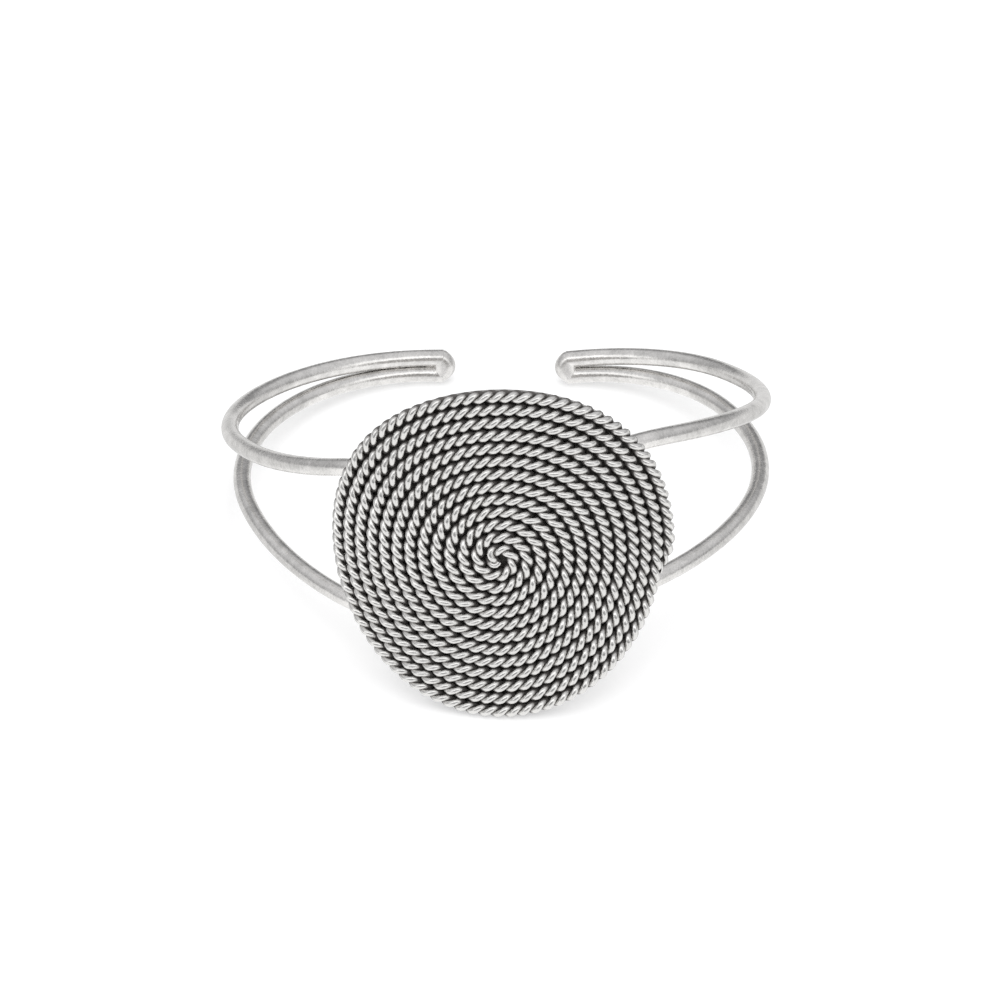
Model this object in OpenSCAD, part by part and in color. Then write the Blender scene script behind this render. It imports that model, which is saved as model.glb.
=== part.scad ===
// Open cuff bracelet of two round wires that carries a round disc, which is one
// twisted rope coiled flat into a spiral and bent to the curve of the wrist.
// The cuff frame has x to the right, y to the back and z along the wrist, with its
// origin midway between the two tips. At rest the cuff lies on its side: the rim of
// the disc and both tips touch the surface it lies on.

/* [Wires] */
// Diameter of the round cuff wires
wire_d = 2; // [1.6:0.1:2.4]
// Air between the two wires where they leave a tip
wire_air = 0.06; // [0.02:0.01:0.2]
// Height above the middle of the disc at which the upper wire crosses behind it
upper_row = 9.25; // [7:0.05:11]
// Depth below the middle of the disc at which the lower wire crosses behind it
lower_row = 7.75; // [7:0.05:11]
// Slope of the wires where they cross behind the disc, in degrees
wire_roll = 6.4; // [3:0.1:8]

/* [Tips] */
// How much thicker a tip is than the wires it joins
tip_swell = 0.08; // [0.08:0.02:0.4]
// Length of the straight part of a tip
tip_sleeve = 1.2; // [0.8:0.1:2]
// Radius of the dome that ends a tip
dome_r = 2.3; // [2.3:0.1:3]

/* [Disc] */
// Radius to which the wrist side of the plate is bent
plate_bend_r = 29.95; // [27:0.05:34]
// Thickness of the sheet behind the rope
plate_t = 0.6; // [0.4:0.1:1]
// Air between the plate and what lies against it
seat_gap = 0.1; // [0.05:0.01:0.15]
// Turn of the disc in its own plane against the cuff, in degrees
disc_roll = 3.8; // [-6:0.1:6]

/* [Rope] */
// Distance from one turn of the rope to the next
rope_pitch = 1.5; // [1.3:0.05:1.6]
// Air between neighbouring turns
turn_air = 0.06; // [0.05:0.01:0.15]
// Turns from the middle of the spiral to the outer end of the rope
rope_turns = 13.08; // [8:0.01:13.5]
// Turns from the middle of the spiral to the inner end of the rope
eye_turns = 0.55; // [0.55:0.05:1]
// Direction of the outer end of the rope, in degrees up from the right
rope_end_angle = -15.8; // [-180:0.1:180]
// Length over which the outer end of the rope is filed down
rope_taper = 3.4; // [0.5:0.1:6]
// Width that is left at the very end, as a share of the rope's
rope_end_share = 0.35; // [0.25:0.05:1]

/* [Rest] */
// How far the cuff leans back from lying level, in degrees
rest_tilt = 17.65; // [16:0.01:19]

/* [Hidden] */
round_fn = 48;
silver = "#c4c2bf";
dark_silver = "#4a4846";
bright_silver = "#dad8d4";

// Foot of the axis about which the disc is bent
bend_axis = [0.8, -21.9, 0.2];
// Angle over which a wire follows the back of the disc, to each side of its middle
front_arc = 28;
// Bends of each half wire: points on its centre line from the disc to the tip
upper_left = [[-17.3, -44.8, 7.0], [-29.4, -29.3, 2.7], [-26.6, -8.9, 1.0]];
lower_left = [[-16.8, -44.4, -8.9], [-28.6, -28.3, -5.4], [-25.9, -9.1, -2.1]];
upper_right = [[19.3, -43.6, 10.9], [28.5, -30.2, 8.0], [25.4, -9.2, 3.8]];
lower_right = [[19.2, -44.5, -5.3], [28.7, -30.2, -2.8], [25.4, -9.4, -0.7]];
// Where the wires end inside the left and the right tip
left_end_x = -7.6;
right_end_x = 7.0;
// How far the middle of a tip lies beyond the ends of its wires
tip_ahead = 0.3;
// Lean of the left and the right tip, which follow their wires, in degrees
left_lean = -4;
right_lean = -7;
// How far the dome cuts into the front of a tip
dome_cut = 0.06;
// How far behind the middle of a tip its dome begins
dome_start = 0.32;
// Air between two arcs of a wire, and how far the ball that closes it stands proud
arc_air = 0.2;
ball_proud = 0.03;

wire_r = wire_d / 2;
wire_lift = wire_r + wire_air / 2;
tip_r = wire_r + tip_swell / 2;
wire_bend_r = plate_bend_r - seat_gap - wire_r;
plate_outer_r = plate_bend_r + plate_t;
rope_bend_r = plate_outer_r + seat_gap + rope_pitch / 2;

rope_sides = 8;
// Half the width across the flats of the rope, taken out to its corners
rope_corner_r = (rope_pitch - turn_air) / 2 / cos(180 / rope_sides);
ring_step = 2.1;
rings_least = 18;
// How far the plate reaches past the centre line of the outermost turn
plate_margin = 0.2;
outline_step = 5;

// Puts the tips on the surface, and the middle of the whole bracelet over the origin
rest_lift = (wire_lift * cos(left_lean) + dome_start * sin(left_lean)) * cos(rest_tilt) + tip_r;
rest_shift = [0.7, 27.85, rest_lift];

function unit(v) = v / norm(v);

// A point given about the bend axis of the disc, in the cuff frame
function on_disc(p) = bend_axis + [p.x * cos(disc_roll) - p.z * sin(disc_roll), p.y,
                                   p.x * sin(disc_roll) + p.z * cos(disc_roll)];

// Direction in which the arc from p along t that passes through q arrives there
function arc_exit(p, t, q) = let (chord = unit(q - p)) 2 * (t * chord) * chord - t;

// Each arc of a wire as its start, its direction there and its end
function arcs(p, t, points, i = 0) =
    i == len(points) ? [] :
    concat([[p, t, points[i]]], arcs(points[i], arc_exit(p, t, points[i]), points, i + 1));

// One arc of round wire, from p along t to q, a hair short at both ends
module wire_arc(p, t, q) {
    chord = unit(q - p);
    half_turn = acos(t * chord);
    bend_r = norm(q - p) / (2 * sin(half_turn));
    short = arc_air / 2 / bend_r * 180 / PI;
    inward = unit(chord - (t * chord) * t);
    axis = cross(t, inward);
    centre = p + bend_r * inward;
    multmatrix([[-inward.x, t.x, axis.x, centre.x],
                [-inward.y, t.y, axis.y, centre.y],
                [-inward.z, t.z, axis.z, centre.z]])
        rotate([0, 0, short]) rotate_extrude(angle = 2 * (half_turn - short), $fn = 180)
            translate([bend_r, 0]) circle(d = wire_d, $fn = round_fn);
}

// Closes the seam at p between two arcs of a wire that runs along t there
module joint_ball(p, t) {
    translate(p) rotate([0, acos(t.z), atan2(t.y, t.x)])
        sphere(r = wire_r + ball_proud, $fn = round_fn);
}

// Half of a wire, from the middle of the disc's back round to one tip
module half_wire(side, row, bends, end) {
    hub = on_disc([0, 0, row]);
    ahead = side * [cos(wire_roll), 0, sin(wire_roll)];
    middle = hub - [0, wire_bend_r, 0];
    leaves = hub + wire_bend_r * (sin(front_arc) * ahead - [0, cos(front_arc), 0]);
    bent_arcs = arcs(middle, ahead, concat([leaves], bends, [end]));
    for (arc = bent_arcs) wire_arc(arc[0], arc[1], arc[2]);
    for (i = [side > 0 ? 0 : 1 : len(bent_arcs) - 1]) joint_ball(bent_arcs[i][0], bent_arcs[i][1]);
}

// Block of solder round the ends of two wires that come from the right
module tip_block() {
    cylinder(r = tip_r, h = 2 * wire_lift, center = true, $fn = round_fn);
    for (level = [-1, 1])
        translate([0, 0, level * wire_lift]) sphere(r = tip_r, $fn = round_fn);
    rotate([90, 0, 90]) linear_extrude(tip_sleeve) {
        square([2 * tip_r, 2 * wire_lift], center = true);
        for (level = [-1, 1]) translate([0, level * wire_lift]) circle(tip_r, $fn = round_fn);
    }
}

// Domed tip in which the ends of two wires are soldered together
module tip(side, x, lean) {
    block = 2 * (tip_r + wire_lift + tip_sleeve);
    translate([x, 0, 0]) rotate([0, lean, side > 0 ? 0 : 180]) intersection() {
        tip_block();
        union() {
            translate([dome_r + dome_cut - tip_r, 0, 0]) sphere(r = dome_r, $fn = 2 * round_fn);
            translate([dome_start + block / 2, 0, 0]) cube(block, center = true);
        }
    }
}

// The two wires, soldered together at both tips
module wire_cuff() {
    left_up = [left_end_x, 0, wire_lift];
    left_down = [left_end_x, 0, -wire_lift];
    right_up = [right_end_x, 0, wire_lift];
    right_down = [right_end_x, 0, -wire_lift];
    color(silver) at_rest() {
        half_wire(-1, upper_row, upper_left, left_up);
        half_wire(1, upper_row, upper_right, right_up);
        half_wire(-1, -lower_row, lower_left, left_down);
        half_wire(1, -lower_row, lower_right, right_down);
        tip(-1, left_end_x + tip_ahead, left_lean);
        tip(1, right_end_x - tip_ahead, right_lean);
    }
}

// Share of its width that the rope has after so many turns
function width_share(turn) =
    min(1, rope_end_share + (1 - rope_end_share) * (rope_turns - turn)
                            * 2 * PI * rope_pitch * rope_turns / rope_taper);

// How far the filed end shrinks towards the turn beside it and towards the plate
function shrink(turn) = (1 - width_share(turn)) * (rope_pitch - turn_air) / 2;

// Radius of the rope's centre line in the flat spiral, after so many turns
function spiral_r(turn) = rope_pitch * turn - shrink(turn);

// Angle round the middle of the disc at which the rope has made so many turns
function spiral_angle(turn) = rope_end_angle + 360 * (rope_turns - turn);

// A point of the flat disc, across and up, laid on the surface bent to radius r
function bent(across, up, r) =
    let (a = across / rope_bend_r * 180 / PI) [r * sin(a), -r * cos(a), up];

// Outline of the plate, which follows the outermost turn of the rope
function plate_outline() =
    [for (a = [0 : outline_step : 360])
        let (turn = rope_turns - a / 360,
             r = spiral_r(turn) + plate_margin * width_share(turn),
             angle = rope_end_angle + a,
             p = bent(r * cos(angle), r * sin(angle), plate_outer_r))
        [p.x, p.z]];

// Thin round sheet behind the rope, bent to the wrist
module back_plate() {
    color(dark_silver) at_rest() in_disc() intersection() {
        difference() {
            cylinder(r = plate_outer_r, h = 60, center = true, $fn = 180);
            cylinder(r = plate_bend_r, h = 61, center = true, $fn = 180);
        }
        rotate([90, 0, 0]) linear_extrude(40) polygon(plate_outline());
    }
}

// How many rings a turn of the rope needs
function rings_in(turn) = max(rings_least, ceil(2 * PI * spiral_r(turn + 1) / ring_step));

// Places of the rings along the rope, in turns from the middle
function ring_turns() =
    let (inner = [for (k = [0 : ceil(rope_turns)]) let (n = rings_in(k))
                      for (i = [0 : n - 1]) eye_turns + k + i / n])
    concat([for (t = inner) if (t < rope_turns - 0.01) t], [rope_turns]);

// One ring of points round the centre line of the rope
function ring(turn) =
    let (r = spiral_r(turn), angle = spiral_angle(turn),
         flat_way = unit([rope_pitch * cos(angle) + 2 * PI * r * sin(angle),
                          rope_pitch * sin(angle) - 2 * PI * r * cos(angle)]),
         centre = bent(r * cos(angle), r * sin(angle), rope_bend_r - shrink(turn)),
         outward = unit([centre.x, centre.y, 0]),
         across = [-outward.y, outward.x, 0],
         sideways = -flat_way.y * across + flat_way.x * [0, 0, 1])
    [for (j = [0 : rope_sides - 1]) let (a = (j + 0.5) * 360 / rope_sides)
        centre + width_share(turn) * rope_corner_r * (cos(a) * sideways + sin(a) * outward)];

// The coiled rope as one plain tube
module rope_spiral() {
    rings = ring_turns();
    last = (len(rings) - 1) * rope_sides;
    points = [for (t = rings) each ring(t)];
    walls = [for (i = [0 : len(rings) - 2], j = [0 : rope_sides - 1])
                let (k = i * rope_sides, next = (j + 1) % rope_sides)
                [k + j, k + rope_sides + j, k + rope_sides + next, k + next]];
    inner_end = [for (j = [0 : rope_sides - 1]) j];
    outer_end = [for (j = [0 : rope_sides - 1]) last + rope_sides - 1 - j];
    color(bright_silver) at_rest() in_disc()
        polyhedron(points, concat(walls, [inner_end, outer_end]));
}

// Places what is modelled about the bend axis of the disc
module in_disc() {
    translate(bend_axis) rotate([0, -disc_roll, 0]) children();
}

// Leans the cuff back and centres it over the surface it rests on
module at_rest() {
    translate(rest_shift) rotate([-rest_tilt, 0, 0]) children();
}

wire_cuff();
back_plate();
rope_spiral();
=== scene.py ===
"""Visual model of a spiral bracelet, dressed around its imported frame.

An open cuff of two round silver wires carries a disc. The disc is one twisted silver rope,
coiled flat on a blackened sheet and bent to the wrist. Shapes are worked out in
millimetres in the frame of the cuff: x to the right, y to the back, z along the wrist,
with the origin midway between the tips. One matrix then lays them down at rest in metres.
"""

import logging
import math
from dataclasses import dataclass, field
from enum import Enum
from functools import partial

import bmesh
import bpy
from mathutils import Matrix, Vector


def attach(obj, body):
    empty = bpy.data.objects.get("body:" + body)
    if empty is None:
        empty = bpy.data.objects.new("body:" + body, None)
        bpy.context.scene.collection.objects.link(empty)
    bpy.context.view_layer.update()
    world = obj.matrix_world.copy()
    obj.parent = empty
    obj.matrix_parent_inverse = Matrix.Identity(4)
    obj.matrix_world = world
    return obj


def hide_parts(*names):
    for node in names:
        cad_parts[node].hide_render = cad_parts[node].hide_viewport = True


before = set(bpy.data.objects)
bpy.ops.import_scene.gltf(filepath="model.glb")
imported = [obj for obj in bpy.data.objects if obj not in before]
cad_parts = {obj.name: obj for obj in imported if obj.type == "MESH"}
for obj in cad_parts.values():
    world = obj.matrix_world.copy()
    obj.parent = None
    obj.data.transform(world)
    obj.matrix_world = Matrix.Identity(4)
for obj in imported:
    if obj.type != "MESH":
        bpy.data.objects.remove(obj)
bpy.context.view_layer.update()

LOG = logging.getLogger("spiral_bracelet")
MM = 0.001
ROOT = "root"

MATHS = "ShaderNodeMath"
VECTOR_MATHS = "ShaderNodeVectorMath"
NOISE = "ShaderNodeTexNoise"
RANGE = "ShaderNodeMapRange"
BUMP = "ShaderNodeBump"
STORE = "GeometryNodeStoreNamedAttribute"
READ = "GeometryNodeInputNamedAttribute"

# Attributes that the geometry trees leave for the finishes.
DRAWN = "drawn"
POLISH = "polish"

# Blender's noise runs from 0 to 1, but hardly leaves this range about its middle.
NOISE_LOW, NOISE_MIDDLE, NOISE_HIGH = 0.3, 0.5, 0.7

# A place or a shift, and the places and hex colours along a colour ramp.
Point = tuple[float, float, float]
Stops = tuple[tuple[float, str], ...]


class Side(Enum):
    """Side of the cuff that a half wire or a tip is on, as the sign of its x."""

    LEFT = -1
    RIGHT = 1


class Row(Enum):
    """Which of the two wires is meant, as the sign of its height."""

    UPPER = 1
    LOWER = -1


class Strand(Enum):
    """Which strand of the rope is meant, in half twists."""

    FIRST = 0
    SECOND = 1


class Slot(Enum):
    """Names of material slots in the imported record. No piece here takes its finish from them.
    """

    WIRES = "satin_silver"
    ROPE = "rope_silver"


def linear(hex_colour: str, alpha: float = 1.0) -> tuple[float, float, float, float]:
    """Turns an sRGB hex colour to linear light, by the formula of that standard.

    Args:
        hex_colour: The colour as "#rrggbb".
        alpha: The fourth value that Blender's colour sockets take.

    Returns:
        Linear red, green and blue, and alpha.
    """
    parts = [int(hex_colour[i:i + 2], 16) / 255 for i in (1, 3, 5)]
    light = [c / 12.92 if c <= 0.04045 else ((c + 0.055) / 1.055) ** 2.4 for c in parts]
    return (light[0], light[1], light[2], alpha)


def connect(tree: bpy.types.NodeTree, node: bpy.types.Node, inputs: dict | tuple) -> None:
    """Sets the inputs of a node, by value or by link.

    Args:
        tree: The shader or geometry tree that the node is in.
        node: The node.
        inputs: Values, sockets or nodes, by the names of the inputs or in the order of
            those in use. A node stands for its first output in use.
    """
    sockets = [socket for socket in node.inputs if socket.enabled]
    if isinstance(inputs, dict):
        sockets = [next(s for s in sockets if s.name == name) for name in inputs]
        inputs = tuple(inputs.values())
    for socket, value in zip(sockets, inputs):
        if isinstance(value, bpy.types.Node):
            value = next(output for output in value.outputs if output.enabled)
        if isinstance(value, bpy.types.NodeSocket):
            tree.links.new(value, socket)
        else:
            socket.default_value = value


def add_node(tree: bpy.types.NodeTree, kind: str, inputs: dict | tuple = (),
             **settings: object) -> bpy.types.Node:
    """Adds a node with its settings and links.

    Args:
        tree: The shader or geometry tree that gets the node.
        kind: Blender's name of the node's type.
        inputs: Values, sockets or nodes, as connect takes them.
        settings: Properties of the node, such as operation="ADD".

    Returns:
        The new node.
    """
    node = tree.nodes.new(kind)
    for name, value in settings.items():
        setattr(node, name, value)
    connect(tree, node, inputs)
    return node


def new_material(name: str) -> tuple[bpy.types.Material, bpy.types.NodeTree, bpy.types.Node]:
    """Makes a node material that holds one Principled shader.

    Args:
        name: The finish, in a silversmith's words.

    Returns:
        The material, its tree and its shader node.
    """
    material = bpy.data.materials.new(name)
    material.use_nodes = True
    tree = material.node_tree
    tree.nodes.clear()
    shader = add_node(tree, "ShaderNodeBsdfPrincipled")
    add_node(tree, "ShaderNodeOutputMaterial", {"Surface": shader})
    return material, tree, shader


def set_stops(ramp: bpy.types.Node, stops: Stops) -> None:
    """Gives a colour ramp its stops.

    Args:
        ramp: The ramp's node.
        stops: The place and the hex colour of each stop, in order.
    """
    elements = ramp.color_ramp.elements
    while len(elements) < len(stops):
        elements.new(0.5)
    for element, (at, colour) in zip(elements, stops):
        element.position = at
        element.color = linear(colour)


def geometry_tree(name: str, sizes: dict[str, float]
                  ) -> tuple[bpy.types.NodeTree, dict[str, bpy.types.NodeSocket]]:
    """Starts a geometry tree with named inputs.

    Args:
        name: What the tree makes.
        sizes: Name and usual value of each input. A whole number makes an integer input.

    Returns:
        The tree, and its input sockets by name, with the geometry under "Geometry".
    """
    tree = bpy.data.node_groups.new(name, "GeometryNodeTree")
    tree.interface.new_socket("Geometry", in_out="INPUT", socket_type="NodeSocketGeometry")
    for size, value in sizes.items():
        kind = "NodeSocketInt" if isinstance(value, int) else "NodeSocketFloat"
        tree.interface.new_socket(size, in_out="INPUT", socket_type=kind).default_value = value
    tree.interface.new_socket("Geometry", in_out="OUTPUT", socket_type="NodeSocketGeometry")
    start = add_node(tree, "NodeGroupInput")
    return tree, {socket.name: socket for socket in start.outputs if socket.name}


def close_tree(tree: bpy.types.NodeTree, made: bpy.types.Node, finish: bpy.types.Material,
               *spare: str) -> None:
    """Ends a geometry tree in realized, dressed meshes.

    Args:
        tree: The geometry tree.
        made: The node that gives the finished geometry.
        finish: The material that it gets.
        spare: Names of attributes that only the tree itself needed.
    """
    for name in spare:
        made = add_node(tree, "GeometryNodeRemoveAttribute", {"Geometry": made, "Name": name})
    real = add_node(tree, "GeometryNodeRealizeInstances", (made,))
    dressed = add_node(tree, "GeometryNodeSetMaterial", {"Geometry": real, "Material": finish})
    add_node(tree, "NodeGroupOutput", (dressed,))


def set_inputs(modifier: bpy.types.Modifier, values: dict[str, float]) -> None:
    """Sets a Geometry Nodes modifier's inputs by the identifiers of their sockets.

    Args:
        modifier: The modifier, with its tree.
        values: Value of each input, by its name.
    """
    for item in modifier.node_group.interface.items_tree:
        if item.in_out == "INPUT" and item.name in values:
            modifier[item.identifier] = values[item.name]


def finished_mesh(maker: bpy.types.Object, name: str, place: Matrix) -> bpy.types.Object:
    """Turns an object and its modifiers into a plain mesh object at the origin.

    Args:
        maker: The object that carries the modifiers. It is removed.
        name: Name of the finished piece.
        place: Matrix that takes its millimetres to the frame in metres.

    Returns:
        The finished piece, smooth shaded.
    """
    depsgraph = bpy.context.evaluated_depsgraph_get()
    mesh = bpy.data.meshes.new_from_object(maker.evaluated_get(depsgraph), depsgraph=depsgraph)
    bpy.data.objects.remove(maker)
    mesh.name = name
    mesh.transform(place)
    mesh.polygons.foreach_set("use_smooth", [True] * len(mesh.polygons))
    mesh.update()
    piece = bpy.data.objects.new(name, mesh)
    bpy.context.scene.collection.objects.link(piece)
    return piece


def hand_over(piece: bpy.types.Object, node: str) -> None:
    """Makes a finished piece ride on the bracelet in place of a CAD node.

    Args:
        piece: The finished piece.
        node: The CAD node that it stands for.
    """
    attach(piece, ROOT)
    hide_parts(node)
    LOG.info("%s: %d faces, stands for %s", piece.name, len(piece.data.polygons), node)


@dataclass(frozen=True)
class Rest:
    """How the cuff lies on its side, in millimetres and degrees."""

    tilt: float = 17.65
    shift: Point = (0.7, 27.85, 1.998)

    def matrix(self) -> Matrix:
        """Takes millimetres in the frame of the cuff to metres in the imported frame."""
        lean = Matrix.Rotation(math.radians(-self.tilt), 4, "X")
        return Matrix.Scale(MM, 4) @ Matrix.Translation(self.shift) @ lean


@dataclass(frozen=True)
class DiscSeat:
    """Where the disc sits in the cuff, and the radii of its bent layers."""

    # Plate and rope bend about this axis, which is upright but for the roll in degrees.
    # All the rest is in millimetres, and the gap stands for solder.
    bend_axis: Point = (0.8, -21.9, 0.2)
    roll: float = 3.8
    plate_bend_r: float = 29.95
    plate_t: float = 0.6
    seat_gap: float = 0.1

    def matrix(self) -> Matrix:
        """Takes points about the bend axis to the frame of the cuff."""
        return (Matrix.Translation(self.bend_axis)
                @ Matrix.Rotation(math.radians(-self.roll), 4, "Y"))

    def plate_outer_r(self) -> float:
        """Radius of the face of the plate that the rope lies on."""
        return self.plate_bend_r + self.plate_t


@dataclass(frozen=True)
class TumbledSilver:
    """Sterling silver wire, drawn round and then tumbled: satin, with a fine grain.

    Tumbling leaves shallow dents a few tenths of a millimetre across, and the drawing
    leaves faint lines along the wire. Both scatter the reflections into a soft mottle.
    """

    name: str = "tumbled sterling silver"
    colour: str = "#f4f2f0"
    shade: str = "#b9b8b6"
    roughness: tuple[float, float] = (0.16, 0.3)
    # The dents of steel shot are about 0.3 mm across, and the shade drifts over patches of
    # 1.5 mm. A depth is that of the whole range of the noise, which uses 0.4 of it.
    grain: float = 0.3
    patch: float = 1.5
    dent_depth: float = 0.031
    dent_strength: float = 0.6
    # The lines of a draw plate are really about 0.05 mm apart. They are drawn 0.25 mm apart,
    # so that they show.
    line_width: float = 0.25
    line_length: float = 9.0
    line_depth: float = 0.012
    line_strength: float = 0.5

    def material(self) -> bpy.types.Material:
        """Builds the finish on Object coordinates, and its lines on the wire's attribute.

        Returns:
            The node material.
        """
        material, tree, shader = new_material(self.name)
        add = partial(add_node, tree)
        place = add("ShaderNodeTexCoord").outputs["Object"]
        mottle = add(NOISE, {"Vector": place, "Scale": 1 / (self.grain * MM),
                             "Detail": 3.0, "Roughness": 0.6})
        cloud = add(NOISE, {"Vector": place, "Scale": 1 / (self.patch * MM), "Detail": 2.0})
        fine = add(MATHS, (mottle, NOISE_MIDDLE), operation="SUBTRACT")
        shade = add(MATHS, (cloud, fine), operation="ADD")
        tint = add("ShaderNodeMix", (shade, linear(self.shade), linear(self.colour)),
                   data_type="RGBA")
        gloss = add(RANGE, {
            "Value": mottle, "From Min": NOISE_LOW, "From Max": NOISE_HIGH,
            "To Min": self.roughness[0], "To Max": self.roughness[1]})

        drawn = add("ShaderNodeAttribute", attribute_name=DRAWN)
        long_way = add("ShaderNodeMapping", {
            "Vector": drawn.outputs["Vector"],
            "Scale": (1 / self.line_width, 1 / self.line_width, 1 / self.line_length)})
        lines = add(NOISE, {"Vector": long_way, "Scale": 1.0, "Detail": 2.0})
        grooves = add(BUMP, {"Height": lines, "Strength": self.line_strength,
                             "Distance": self.line_depth * MM})
        dents = add(BUMP, {"Height": mottle, "Strength": self.dent_strength,
                           "Distance": self.dent_depth * MM, "Normal": grooves})
        connect(tree, shader, {"Base Color": tint, "Roughness": gloss, "Normal": dents,
                               "Metallic": 1.0})
        return material


@dataclass(frozen=True)
class BlackenedSilver:
    """Silver sheet blackened with liver of sulphur on the rope's side.

    The sulphide is a dull near-black skin that hardly mirrors. The wrist side was rubbed
    back to satin metal.
    """

    name: str = "blackened silver sheet"
    black: str = "#34322f"
    brown: str = "#605c58"
    metal: str = "#d4d2d0"
    skin_metallic: float = 0.25
    metal_roughness: float = 0.36
    skin_roughness: float = 0.62
    # The skin lies outside this radius about the bend axis, which falls inside the sheet.
    skin_r: float = 30.3
    # The spots of the sulphide are really under 0.1 mm across and far shallower. They are
    # drawn 0.3 mm across, so that they show.
    mottle: float = 0.3
    dent_depth: float = 0.02
    dent_strength: float = 0.5

    def material(self, seat: DiscSeat, rest: Rest) -> bpy.types.Material:
        """Builds the finish, which is dark only outside a radius about the bend axis.

        Args:
            seat: Where the disc sits in the cuff.
            rest: How the cuff lies.

        Returns:
            The node material.
        """
        material, tree, shader = new_material(self.name)
        add = partial(add_node, tree)
        place = add("ShaderNodeTexCoord").outputs["Object"]
        back = (rest.matrix() @ seat.matrix()).inverted()
        local = add("ShaderNodeMapping", {
            "Vector": place, "Location": back.to_translation(),
            "Rotation": tuple(back.to_euler()), "Scale": (1 / MM, 1 / MM, 1 / MM)})
        flat = add(VECTOR_MATHS, (local, (1.0, 1.0, 0.0)), operation="MULTIPLY")
        reach = add(VECTOR_MATHS, (flat,), operation="LENGTH")
        outside = add(MATHS, (reach, self.skin_r), operation="GREATER_THAN")
        mottle = add(NOISE, {"Vector": place, "Scale": 1 / (self.mottle * MM),
                             "Detail": 4.0})
        skin = add("ShaderNodeMix", (mottle, linear(self.black), linear(self.brown)),
                   data_type="RGBA")
        colour = add("ShaderNodeMix", (outside, linear(self.metal), skin), data_type="RGBA")
        gloss = add(RANGE, {"Value": outside, "To Min": self.metal_roughness,
                            "To Max": self.skin_roughness})
        metallic = add(RANGE, {"Value": outside, "To Min": 1.0,
                               "To Max": self.skin_metallic})
        dents = add(BUMP, {"Height": mottle, "Strength": self.dent_strength,
                           "Distance": self.dent_depth * MM})
        connect(tree, shader, {"Base Color": colour, "Roughness": gloss, "Normal": dents,
                               "Metallic": metallic})
        return material


@dataclass(frozen=True)
class RopeSilver:
    """Twisted silver wire, blackened whole and then polished on its crests.

    The crests mirror the room. The black left in the recesses is silver sulphide, which
    is dull and hardly metallic, and ends in a ragged edge.
    """

    name: str = "polished rope silver"
    bright: str = "#d8d7d5"
    worn: str = "#b4b2b0"
    black: str = "#585553"
    black_metallic: float = 0.25
    black_roughness: float = 0.55
    bright_roughness: float = 0.15
    # How far a point was polished where it is still black, half worn and bright, and how
    # far the noise shifts that.
    levels: tuple[float, float, float] = (0.24, 0.4, 0.58)
    ragged: float = 0.4
    # The dents of wear on so thin a wire are really under 0.1 mm across. They are drawn
    # 0.16 mm across, so that they show.
    grain: float = 0.16
    dent_depth: float = 0.03
    dent_strength: float = 0.5

    def material(self) -> bpy.types.Material:
        """Builds the finish, which reads how far each point was polished.

        Returns:
            The node material.
        """
        material, tree, shader = new_material(self.name)
        add = partial(add_node, tree)
        place = add("ShaderNodeTexCoord").outputs["Object"]
        polish = add("ShaderNodeAttribute", attribute_name=POLISH)
        mottle = add(NOISE, {"Vector": place, "Scale": 1 / (self.grain * MM),
                             "Detail": 2.0})
        uneven = add(MATHS, (mottle, NOISE_MIDDLE), operation="SUBTRACT")
        level = add(MATHS, (uneven, self.ragged, polish.outputs["Fac"]),
                    operation="MULTIPLY_ADD")
        black_at, worn_at, bright_at = self.levels
        tint = add("ShaderNodeValToRGB", (level,))
        set_stops(tint, ((black_at, self.black), (worn_at, self.worn),
                         (bright_at, self.bright)))
        gloss = add(RANGE, {
            "Value": level, "From Min": black_at, "From Max": bright_at,
            "To Min": self.black_roughness, "To Max": self.bright_roughness})
        metallic = add(RANGE, {
            "Value": level, "From Min": black_at, "From Max": worn_at,
            "To Min": self.black_metallic, "To Max": 1.0})
        dents = add(BUMP, {"Height": mottle, "Strength": self.dent_strength,
                           "Distance": self.dent_depth * MM})
        connect(tree, shader, {"Base Color": tint, "Roughness": gloss, "Normal": dents,
                               "Metallic": metallic})
        return material


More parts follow.
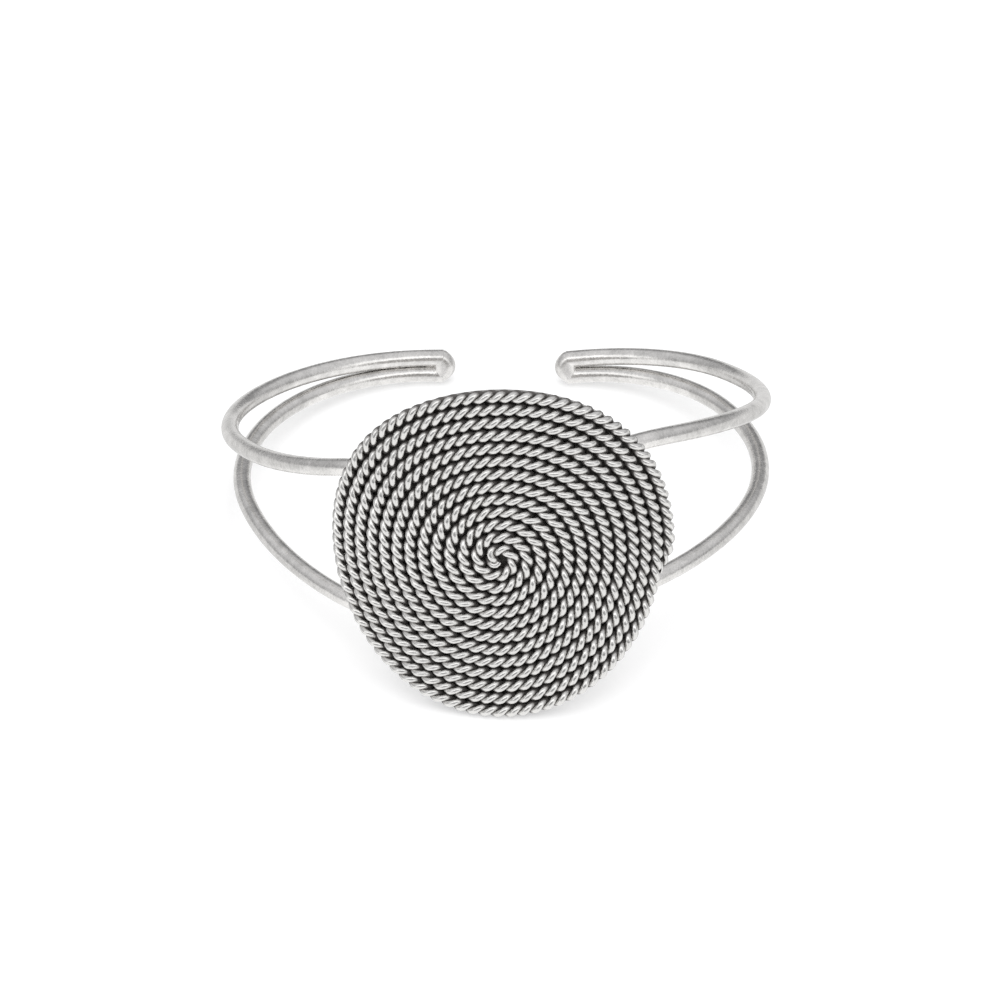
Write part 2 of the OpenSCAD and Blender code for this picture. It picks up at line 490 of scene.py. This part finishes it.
@dataclass(frozen=True)
class WireCuff:
    """The two round wires and the tips that join them, in millimetres and degrees."""

    # The wires are wire_air apart at the tips. Behind the disc they lean by wire_roll and
    # follow its bend for front_arc to each side. Points on an arc of their lines are about
    # a step apart, and arc_points at least.
    wire_d: float = 2.0
    wire_air: float = 0.06
    wire_roll: float = 6.4
    wire_sides: int = 32
    front_arc: float = 28.0
    step: float = 0.7
    arc_points: int = 4
    # A tip is the hull of a bowed row of balls.
    tip_r: float = 1.01
    tip_ahead: float = 0.3
    tip_nose: float = -0.1
    tip_bow: float = 0.6
    tip_reach: float = 0.9
    tip_balls: int = 9
    ball_rounds: int = 4
    # A stub is the end of a wire that melts into a tip. It starts thicker than the wire by
    # stub_proud and ends thinner by as much, and its cones overlap by stub_lap.
    stub: float = 2.0
    stub_proud: float = 0.014
    stub_sides: int = 64
    stub_lap: float = 1.02
    melt_voxel: float = 0.045
    soften_share: float = 0.5
    soften_rounds: int = 5
    # Heights of the wires behind the disc, places of their ends and leans of the tips.
    rows: dict[Row, float] = field(default_factory=lambda: {Row.UPPER: 9.25, Row.LOWER: -7.75})
    ends: dict[Side, float] = field(default_factory=lambda: {Side.LEFT: -7.6, Side.RIGHT: 7.0})
    leans: dict[Side, float] = field(default_factory=lambda: {Side.LEFT: -4.0, Side.RIGHT: -7.0})
    # Points that each half wire passes between the disc and its tip.
    bends: dict[tuple[Row, Side], tuple[Point, ...]] = field(default_factory=lambda: {
        (Row.UPPER, Side.LEFT): ((-17.3, -44.8, 7.0), (-29.4, -29.3, 2.7), (-26.6, -8.9, 1.0)),
        (Row.LOWER, Side.LEFT): ((-16.8, -44.4, -8.9), (-28.6, -28.3, -5.4),
                                 (-25.9, -9.1, -2.1)),
        (Row.UPPER, Side.RIGHT): ((19.3, -43.6, 10.9), (28.5, -30.2, 8.0), (25.4, -9.2, 3.8)),
        (Row.LOWER, Side.RIGHT): ((19.2, -44.5, -5.3), (28.7, -30.2, -2.8),
                                  (25.4, -9.4, -0.7)),
    })

    def wire_r(self) -> float:
        """Radius of a wire."""
        return self.wire_d / 2

    def lift(self) -> float:
        """Height of a wire's centre line above the middle, where it leaves a tip."""
        return self.wire_r() + self.wire_air / 2

    def arc(self, start: Vector, ahead: Vector, end: Vector) -> tuple[list[Vector], Vector]:
        """Points along the arc that leaves start along ahead and passes through end.

        Args:
            start: First point of the arc.
            ahead: Unit direction there.
            end: Last point of the arc.

        Returns:
            The points after start, and the unit direction at the end.
        """
        chord = (end - start).normalized()
        half_turn = math.acos(ahead.dot(chord))
        radius = (end - start).length / (2 * math.sin(half_turn))
        inward = (chord - ahead.dot(chord) * ahead).normalized()
        centre = start + radius * inward
        count = max(self.arc_points, math.ceil(2 * half_turn * radius / self.step))
        points = []
        for i in range(1, count + 1):
            turn = 2 * half_turn * i / count
            points.append(centre - radius * math.cos(turn) * inward
                          + radius * math.sin(turn) * ahead)
        return points, 2 * ahead.dot(chord) * chord - ahead

    def half_path(self, row: Row, side: Side, seat: DiscSeat) -> list[Vector]:
        """Centre line of half a wire, from the middle of the disc's back to a tip.

        Args:
            row: The upper or the lower wire.
            side: The side of the tip.
            seat: Where the disc sits in the cuff.

        Returns:
            Points in the frame of the cuff, the middle one first.
        """
        bend_r = seat.plate_bend_r - seat.seat_gap - self.wire_r()
        hub = seat.matrix() @ Vector((0, 0, self.rows[row]))
        roll, spread = math.radians(self.wire_roll), math.radians(self.front_arc)
        ahead = side.value * Vector((math.cos(roll), 0, math.sin(roll)))
        here = hub - Vector((0, bend_r, 0))
        leaves = hub + bend_r * (math.sin(spread) * ahead - Vector((0, math.cos(spread), 0)))
        end = Vector((self.ends[side], 0, row.value * self.lift()))
        path = [here]
        for stop in (leaves, *map(Vector, self.bends[row, side]), end):
            points, ahead = self.arc(path[-1], ahead, stop)
            path += points
        return path

    def wire(self, row: Row, seat: DiscSeat, rest: Rest,
             finish: bpy.types.Material) -> bpy.types.Object:
        """Sweeps one whole wire from its left tip round to its right one.

        Args:
            row: The upper or the lower wire.
            seat: Where the disc sits in the cuff.
            rest: How the cuff lies.
            finish: Its material.

        Returns:
            The finished wire.
        """
        left = self.half_path(row, Side.LEFT, seat)
        path = left[:0:-1] + self.half_path(row, Side.RIGHT, seat)
        line = bpy.data.curves.new("wire_line", "CURVE")
        line.dimensions = "3D"
        spline = line.splines.new("POLY")
        spline.points.add(len(path) - 1)
        spline.points.foreach_set("co", [c for p in path for c in (*p, 1.0)])
        maker = bpy.data.objects.new("wire_line", line)
        bpy.context.scene.collection.objects.link(maker)
        sizes = {"Radius": self.wire_r(), "Sides": self.wire_sides}
        modifier = maker.modifiers.new("sweep", "NODES")
        modifier.node_group = self.sweep_tree(sizes, finish)
        set_inputs(modifier, sizes)
        return finished_mesh(maker, f"{row.name.lower()}_wire", rest.matrix())

    def sweep_tree(self, sizes: dict[str, float],
                   finish: bpy.types.Material) -> bpy.types.NodeTree:
        """Builds the tree that sweeps a round section along a centre line.

        It leaves the attribute DRAWN, whose x and y go round the wire and whose z goes
        along it, on which the finish lays the faint lines of the draw plate.

        Args:
            sizes: Name and value of each of the tree's inputs.
            finish: The material that the tree sets.

        Returns:
            The geometry tree.
        """
        tree, size = geometry_tree("round wire", sizes)
        add = partial(add_node, tree)
        run = add("GeometryNodeSplineParameter").outputs["Length"]
        line = add(STORE, {"Geometry": size["Geometry"], "Name": "along", "Value": run},
                   data_type="FLOAT", domain="POINT")
        section = add("GeometryNodeCurvePrimitiveCircle", {
            "Resolution": size["Sides"], "Radius": size["Radius"]})
        spot = add("GeometryNodeInputPosition")
        marked = add(STORE, {"Geometry": section, "Name": "round", "Value": spot},
                     data_type="FLOAT_VECTOR", domain="POINT")
        swept = add("GeometryNodeCurveToMesh", {
            "Curve": line, "Profile Curve": marked, "Fill Caps": True})
        around = add(READ, {"Name": "round"}, data_type="FLOAT_VECTOR")
        along = add("ShaderNodeCombineXYZ", {
            "Z": add(READ, {"Name": "along"}, data_type="FLOAT")})
        place = add(VECTOR_MATHS, (around, along), operation="ADD")
        drawn = add(STORE, {"Geometry": swept, "Name": DRAWN, "Value": place},
                    data_type="FLOAT_VECTOR", domain="POINT")
        close_tree(tree, drawn, finish, "along", "round")
        return tree

    def tip(self, side: Side, seat: DiscSeat, rest: Rest,
            finish: bpy.types.Material) -> bpy.types.Object:
        """Melts the rounded tip that joins the ends of the two wires.

        The tip is a short bowed bar as thick as the wires, laid across their ends. Bar
        and wire ends are melted into one skin, which leaves a soft fillet between them.

        Args:
            side: The side of the tip.
            seat: Where the disc sits in the cuff.
            rest: How the cuff lies.
            finish: Its material.

        Returns:
            The finished tip.
        """
        turn = 0.0 if side is Side.RIGHT else math.pi
        place = (Matrix.Translation((self.ends[side] - side.value * self.tip_ahead, 0, 0))
                 @ Matrix.Rotation(turn, 4, "Z")
                 @ Matrix.Rotation(math.radians(self.leans[side]), 4, "Y"))
        build = bmesh.new()
        for ball in range(self.tip_balls):
            level = 2 * ball / (self.tip_balls - 1) - 1
            middle = place @ Vector((self.tip_nose + self.tip_bow * level ** 2, 0,
                                     level * self.tip_reach * self.lift()))
            bmesh.ops.create_icosphere(build, subdivisions=self.ball_rounds,
                                       radius=self.tip_r, matrix=Matrix.Translation(middle))
        hull = bmesh.ops.convex_hull(build, input=build.verts)
        spare = {*hull["geom_interior"], *hull["geom_unused"]}
        bmesh.ops.delete(build, geom=[e for e in spare if isinstance(e, bmesh.types.BMVert)])
        for row in Row:
            self.add_stub(build, self.half_path(row, side, seat)[::-1])
        mesh = bpy.data.meshes.new("tip_maker")
        build.to_mesh(mesh)
        build.free()
        mesh.materials.append(finish)
        maker = bpy.data.objects.new("tip_maker", mesh)
        bpy.context.scene.collection.objects.link(maker)
        melt = maker.modifiers.new("melt", "REMESH")
        melt.mode, melt.voxel_size = "VOXEL", self.melt_voxel
        soften = maker.modifiers.new("soften", "SMOOTH")
        soften.factor, soften.iterations = self.soften_share, self.soften_rounds
        return finished_mesh(maker, f"{side.name.lower()}_tip", rest.matrix())

    def add_stub(self, build: bmesh.types.BMesh, path: list[Vector]) -> None:
        """Adds the end of a wire, which thins a hair until it dives under the wire's skin.

        Args:
            build: The mesh that it is added to.
            path: The wire's centre line, from its end inwards.
        """
        gone = 0.0
        for start, end in zip(path, path[1:]):
            reach = (end - start).length
            radii = [self.wire_r() + self.stub_proud
                     - 2 * self.stub_proud * min(1.0, d / self.stub)
                     for d in (gone, gone + reach)]
            along = (end - start).to_track_quat("Z", "Y").to_matrix().to_4x4()
            bmesh.ops.create_cone(
                build, cap_ends=True, segments=self.stub_sides, radius1=radii[0],
                radius2=radii[1], depth=reach * self.stub_lap,
                matrix=Matrix.Translation((start + end) / 2) @ along)
            gone += reach
            if gone > self.stub:
                break


@dataclass(frozen=True)
class RopeSpiral:
    """The two-strand rope of the disc, in millimetres, turns and degrees."""

    # The turns lie side by side, so the pitch of the spiral is also about the rope's width.
    # Turns are counted from the middle, and the angle is that of the end on the rim.
    pitch: float = 1.5
    turns: float = 13.08
    eye_turns: float = 0.26
    end_angle: float = -15.8
    # Two strands pressed a little into each other, and the length of one full twist.
    strand_d: float = 0.77
    press: float = 0.93
    lay: float = 2.75
    # How far from each end the rope starts to thin, and the share that is left there.
    end_taper: float = 3.4
    end_share: float = 0.35
    eye_taper: float = 0.8
    eye_share: float = 0.8
    # How far the twist drifts, and how often in a millimetre.
    wobble: float = 0.7
    wobble_rate: float = 0.3
    rings: int = 5200
    sides: int = 10
    seed: int = 7

    def bend_r(self, seat: DiscSeat) -> float:
        """Radius at which the rope's centre line lies about the bend axis."""
        return seat.plate_outer_r() + seat.seat_gap + self.pitch / 2

    def sizes(self, strand: Strand, seat: DiscSeat) -> dict[str, float]:
        """Lists the inputs of the tree that makes a strand.

        Args:
            strand: The strand, which sets where round the rope it starts.
            seat: Where the disc sits in the cuff.

        Returns:
            Value of each input, by its name.
        """
        return {
            "Pitch": self.pitch, "Turns": self.turns, "Eye Turns": self.eye_turns,
            "End Angle": math.radians(self.end_angle), "Bend Radius": self.bend_r(seat),
            "Strand Radius": self.strand_d / 2, "Press": self.press, "Lay": self.lay,
            "Phase": math.pi * strand.value, "End Taper": self.end_taper,
            "End Share": self.end_share, "Eye Taper": self.eye_taper,
            "Eye Share": self.eye_share, "Wobble": self.wobble,
            "Wobble Rate": self.wobble_rate, "Rings": self.rings, "Sides": self.sides,
            "Seed": self.seed}

    def strand_tree(self, sizes: dict[str, float],
                    finish: bpy.types.Material) -> bpy.types.NodeTree:
        """Builds the tree that makes one strand of the coiled rope.

        The centre line of the rope is a flat spiral rolled onto a cylinder. The strand
        winds round it to the left. Both ends of the rope are filed thinner, down onto the
        plate, and its twist drifts a little as it does in a rope that was laid by hand.
        It leaves the attribute POLISH, which is 1 on the crests, and 0 from the height of
        the rope's centre line down.

        Args:
            sizes: Name and value of each of the tree's inputs.
            finish: The material that the tree sets.

        Returns:
            The geometry tree.
        """
        tree, size = geometry_tree("twisted strand", sizes)
        add = partial(add_node, tree)
        strand_r, press = size["Strand Radius"], size["Press"]
        rope_r = add(MATHS, (strand_r, press, strand_r), operation="MULTIPLY_ADD")
        line = add("GeometryNodeCurvePrimitiveLine")
        fine = add("GeometryNodeResampleCurve", {"Curve": line, "Count": size["Rings"]})

        # The square of the turns grows evenly from the eye, so the rings are evenly apart.
        share = add("GeometryNodeSplineParameter").outputs["Factor"]
        eye_squared = add(MATHS, (size["Eye Turns"], 2.0), operation="POWER")
        squared = add(RANGE, {
            "Value": share, "To Min": eye_squared,
            "To Max": add(MATHS, (size["Turns"], 2.0), operation="POWER")})
        turn = add(MATHS, (squared,), operation="SQRT")
        turns_left = add(MATHS, (size["Turns"], turn), operation="SUBTRACT")
        angle = add(MATHS, (turns_left, 2 * math.pi, size["End Angle"]),
                    operation="MULTIPLY_ADD")

        # The width of the rope, which is 1 but for its filed ends.
        rim = add(MATHS, (size["Pitch"], size["Turns"]), operation="MULTIPLY")
        rim_turn = add(MATHS, (rim, 2 * math.pi), operation="MULTIPLY")
        to_end = add(MATHS, (turns_left, rim_turn), operation="MULTIPLY")
        end_width = add(RANGE, {"Value": to_end, "From Max": size["End Taper"],
                                "To Min": size["End Share"]})
        gained = add(MATHS, (squared, eye_squared), operation="SUBTRACT")
        half_turn = add(MATHS, (size["Pitch"], math.pi), operation="MULTIPLY")
        from_eye = add(MATHS, (gained, half_turn), operation="MULTIPLY")
        eye_width = add(RANGE, {"Value": from_eye, "From Max": size["Eye Taper"],
                                "To Min": size["Eye Share"]})
        width = add(MATHS, (end_width, eye_width), operation="MULTIPLY")

        # The flat spiral, rolled onto the cylinder and lowered where the rope is thinner.
        end_loss = add(MATHS, (1.0, end_width), operation="SUBTRACT")
        tucked = add(MATHS, (rope_r, end_loss), operation="MULTIPLY")
        spread = add(MATHS, (turn, size["Pitch"]), operation="MULTIPLY")
        reach = add(MATHS, (spread, tucked), operation="SUBTRACT")
        across, up = (
            add(MATHS, (reach, add(MATHS, (angle,), operation=wave)), operation="MULTIPLY")
            for wave in ("COSINE", "SINE"))
        roll = add(MATHS, (across, size["Bend Radius"]), operation="DIVIDE")
        depth = add(MATHS, (add(MATHS, (roll,), operation="COSINE"), -1.0),
                    operation="MULTIPLY")
        outward = add("ShaderNodeCombineXYZ", {
            "X": add(MATHS, (roll,), operation="SINE"), "Y": depth})
        height = add("ShaderNodeCombineXYZ", {"Z": up})
        lost = add(MATHS, (1.0, width), operation="SUBTRACT")
        lowered = add(MATHS, (rope_r, lost), operation="MULTIPLY")
        bend_r = add(MATHS, (size["Bend Radius"], lowered), operation="SUBTRACT")
        outside = add(VECTOR_MATHS, (outward, bend_r), operation="SCALE")
        centre = add(VECTOR_MATHS, (height, outside), operation="ADD")
        kept = add("GeometryNodeSetPosition", {"Geometry": fine, "Position": centre})
        for name, value, kind in (("middle", centre, "FLOAT_VECTOR"),
                                  ("outward", outward, "FLOAT_VECTOR"),
                                  ("width", width, "FLOAT")):
            kept = add(STORE, {"Geometry": kept, "Name": name, "Value": value},
                       data_type=kind, domain="POINT")
        middle, facing = (add(READ, {"Name": name}, data_type="FLOAT_VECTOR")
                          for name in ("middle", "outward"))
        thick = add(READ, {"Name": "width"}, data_type="FLOAT")

        # The strand winds round that line.
        ahead = add("GeometryNodeInputTangent")
        sideways = add(VECTOR_MATHS, (ahead, facing), operation="CROSS_PRODUCT")
        run = add("GeometryNodeSplineParameter").outputs["Length"]
        drift = add(NOISE, {
            "W": add(MATHS, (run, size["Wobble Rate"], size["Seed"]),
                     operation="MULTIPLY_ADD"),
            "Scale": 1.0, "Detail": 1.0}, noise_dimensions="1D")
        start = add(MATHS, (drift, size["Wobble"], size["Phase"]), operation="MULTIPLY_ADD")
        lays = add(MATHS, (run, size["Lay"]), operation="DIVIDE")
        twist = add(MATHS, (lays, -2 * math.pi, start), operation="MULTIPLY_ADD")
        way = add(VECTOR_MATHS, tuple(
            add(VECTOR_MATHS, (axis, add(MATHS, (twist,), operation=wave)),
                operation="SCALE")
            for axis, wave in ((facing, "COSINE"), (sideways, "SINE"))), operation="ADD")
        pressed_r = add(MATHS, (strand_r, press), operation="MULTIPLY")
        off = add(MATHS, (thick, pressed_r), operation="MULTIPLY")
        wound = add("GeometryNodeSetPosition", {
            "Geometry": kept, "Offset": add(VECTOR_MATHS, (way, off), operation="SCALE")})
        section = add("GeometryNodeCurvePrimitiveCircle", {
            "Resolution": size["Sides"], "Radius": strand_r})
        swept = add("GeometryNodeCurveToMesh", {
            "Curve": wound, "Profile Curve": section, "Scale": thick, "Fill Caps": True})

        # A polishing cloth reaches the crests, which stand highest above the centre line.
        away = add(VECTOR_MATHS, (add("GeometryNodeInputPosition"), middle),
                   operation="SUBTRACT")
        risen = add(VECTOR_MATHS, (away, facing), operation="DOT_PRODUCT")
        crest = add(MATHS, (rope_r, thick), operation="MULTIPLY")
        polish = add(RANGE, {"Value": add(MATHS, (risen, crest), operation="DIVIDE")})
        stored = add(STORE, {"Geometry": swept, "Name": POLISH, "Value": polish},
                     data_type="FLOAT", domain="POINT")
        close_tree(tree, stored, finish, "middle", "outward", "width")
        return tree

    def wind(self, strand: Strand, seat: DiscSeat, rest: Rest,
             finish: bpy.types.Material) -> bpy.types.Object:
        """Winds one of the two strands along the whole spiral.

        Args:
            strand: The first or the second strand.
            seat: Where the disc sits in the cuff.
            rest: How the cuff lies.
            finish: Its material.

        Returns:
            The finished strand.
        """
        maker = bpy.data.objects.new("strand_maker", bpy.data.meshes.new("strand_maker"))
        bpy.context.scene.collection.objects.link(maker)
        modifier = maker.modifiers.new("twist", "NODES")
        sizes = self.sizes(strand, seat)
        modifier.node_group = self.strand_tree(sizes, finish)
        set_inputs(modifier, sizes)
        name = f"{strand.name.lower()}_strand"
        return finished_mesh(maker, name, rest.matrix() @ seat.matrix())


@dataclass(frozen=True)
class Studio:
    """A pale floor, soft light and the camera of the photograph.

    The camera's view is in millimetres and degrees. Its clip range and the rest of the set
    are in metres.
    """

    elevation: float = 23.2
    yaw: float = -1.9
    distance: float = 560.0
    pixels_per_mm: float = 8.43
    picture: int = 1000
    sensor: float = 36.0
    clip: tuple[float, float] = (0.01, 20.0)
    aim_right: float = -0.913
    aim_up: float = -15.81
    floor_half: float = 3.0
    floor_colour: str = "#cecece"
    floor_glow: float = 0.44
    floor_roughness: float = 0.9
    floor_specular: float = 0.1
    ceiling_place: Point = (0.0, 0.2, 1.4)
    ceiling_size: float = 1.6
    ceiling_watts: float = 10.0
    # What the metal mirrors above the horizon, by how far back it is: 0 is the camera's
    # side and 1 the far one.
    walls: Stops = (
        (0.0, "#a4a4a5"), (0.11, "#acacad"), (0.16, "#ffffff"), (0.23, "#ffffff"),
        (0.34, "#bababb"), (0.85, "#b6b6b7"), (0.97, "#8a8a8b"))
    # How the walls darken towards the horizon, which is at 0.5, with 1 straight up.
    skirting: Stops = (
        (0.5, "#c8c8c8"), (0.6, "#d0d0d0"), (0.72, "#f0f0f0"), (0.85, "#ffffff"))
    # What the metal mirrors below the horizon, by how far back and how far aside it is.
    table: Stops = (
        (0.04, "#c6c6c7"), (0.14, "#dcdcdc"), (0.775, "#dcdcdc"), (0.95, "#c0c0c0"))
    wall_light: float = 1.7

    def camera(self, rest: Rest) -> None:
        """Places the camera, which looks down on the cuff from in front.

        Args:
            rest: How the cuff lies.
        """
        el, yaw = math.radians(self.elevation), math.radians(self.yaw)
        ahead = Vector((math.sin(yaw) * math.cos(el), math.cos(yaw) * math.cos(el),
                        -math.sin(el)))
        right = Vector((math.cos(yaw), -math.sin(yaw), 0))
        up = right.cross(ahead)
        aim = self.aim_right * right + self.aim_up * up
        eye = -self.distance * ahead
        view = (aim - eye).normalized()
        side = view.cross(up).normalized()
        turned = Matrix((side, side.cross(view), -view)).transposed().to_4x4()
        lean = rest.matrix().to_3x3().normalized().to_4x4()
        data = bpy.data.cameras.new("camera")
        data.sensor_width = self.sensor
        data.lens = self.pixels_per_mm * self.distance / self.picture * self.sensor
        data.clip_start, data.clip_end = self.clip
        camera = bpy.data.objects.new("camera", data)
        bpy.context.scene.collection.objects.link(camera)
        camera.matrix_world = Matrix.Translation(rest.matrix() @ eye) @ lean @ turned
        bpy.context.scene.camera = camera

    def floor(self) -> None:
        """Lays the pale floor that the bracelet rests on, a table that is lit from below.

        The metal mirrors the world's table colours in its place, because a wide white floor
        would burn out the outer bends of the wires.
        """
        mesh = bpy.data.meshes.new("floor")
        build = bmesh.new()
        bmesh.ops.create_grid(build, x_segments=1, y_segments=1, size=self.floor_half)
        build.to_mesh(mesh)
        build.free()
        floor = bpy.data.objects.new("floor", mesh)
        bpy.context.scene.collection.objects.link(floor)
        material, tree, shader = new_material("matt white acrylic light table")
        connect(tree, shader, {
            "Base Color": linear(self.floor_colour), "Roughness": self.floor_roughness,
            "Emission Color": linear("#ffffff"), "Emission Strength": self.floor_glow,
            "Specular IOR Level": self.floor_specular})
        mesh.materials.append(material)
        floor.visible_glossy = False

    def ceiling(self) -> None:
        """Hangs the square softbox over the bracelet, which polished metal doesn't mirror."""
        data = bpy.data.lights.new("ceiling", "AREA")
        data.size = self.ceiling_size
        data.energy = self.ceiling_watts
        light = bpy.data.objects.new("ceiling", data)
        light.location = self.ceiling_place
        light.rotation_euler = (-Vector(self.ceiling_place)).to_track_quat(
            "-Z", "Y").to_euler()
        light.visible_glossy = False
        bpy.context.scene.collection.objects.link(light)

    def sky(self) -> None:
        """Surrounds the set with pale walls, and below them with the table's colours.

        The metal mirrors this world by direction alone, so the table's ramp stands for the
        floor, which the metal doesn't mirror.
        """
        world = bpy.data.worlds.new("studio walls")
        world.use_nodes = True
        tree = world.node_tree
        tree.nodes.clear()
        add = partial(add_node, tree)
        place = add("ShaderNodeTexCoord").outputs["Generated"]
        x, y, z = add("ShaderNodeSeparateXYZ", (place,)).outputs
        depth, height = (add(MATHS, (part, 0.5, 0.5), operation="MULTIPLY_ADD")
                         for part in (y, z))
        aside = add(MATHS, (add(MATHS, (x,), operation="ABSOLUTE"), 0.5, depth),
                    operation="MULTIPLY_ADD")
        ramps = []
        for value, stops in ((depth, self.walls), (height, self.skirting),
                             (aside, self.table)):
            ramps.append(add("ShaderNodeValToRGB", (value,)))
            set_stops(ramps[-1], stops)
        walls, skirting, table = ramps
        above = add(VECTOR_MATHS, (walls, skirting), operation="MULTIPLY")
        is_below = add(MATHS, (z, 0.0), operation="LESS_THAN")
        room = add("ShaderNodeMix", (is_below, above, table), data_type="RGBA")
        back = add("ShaderNodeBackground", {"Color": room, "Strength": self.wall_light})
        add("ShaderNodeOutputWorld", {"Surface": back})
        bpy.context.scene.world = world

    def build(self, rest: Rest) -> None:
        """Builds the whole set.

        Args:
            rest: How the cuff lies.
        """
        self.camera(rest)
        self.floor()
        self.sky()
        self.ceiling()
        bpy.context.scene.view_settings.view_transform = "Standard"


def main() -> None:
    """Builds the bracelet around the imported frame, and the set that it stands in."""
    logging.basicConfig(level=logging.INFO, format="%(name)s: %(message)s")
    rest, seat = Rest(), DiscSeat()
    Studio().build(rest)

    silver = TumbledSilver().material()
    cuff = WireCuff()
    for row in Row:
        hand_over(cuff.wire(row, seat, rest, silver), "wire_cuff")
    # The tips were filed and polished once they were soldered, so their dents are faint.
    polished = TumbledSilver("polished sterling silver", roughness=(0.22, 0.32),
                             dent_depth=0.004).material()
    for side in Side:
        hand_over(cuff.tip(side, seat, rest, polished), "wire_cuff")

    rope_silver = RopeSilver().material()
    rope = RopeSpiral()
    for strand in Strand:
        hand_over(rope.wind(strand, seat, rest, rope_silver), "rope_spiral")

    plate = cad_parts["back_plate"]
    plate.data.materials.clear()
    plate.data.materials.append(BlackenedSilver().material(seat, rest))
    LOG.info("%s: %d faces, the packed node itself", plate.name, len(plate.data.polygons))


if __name__ == "__main__":
    main()
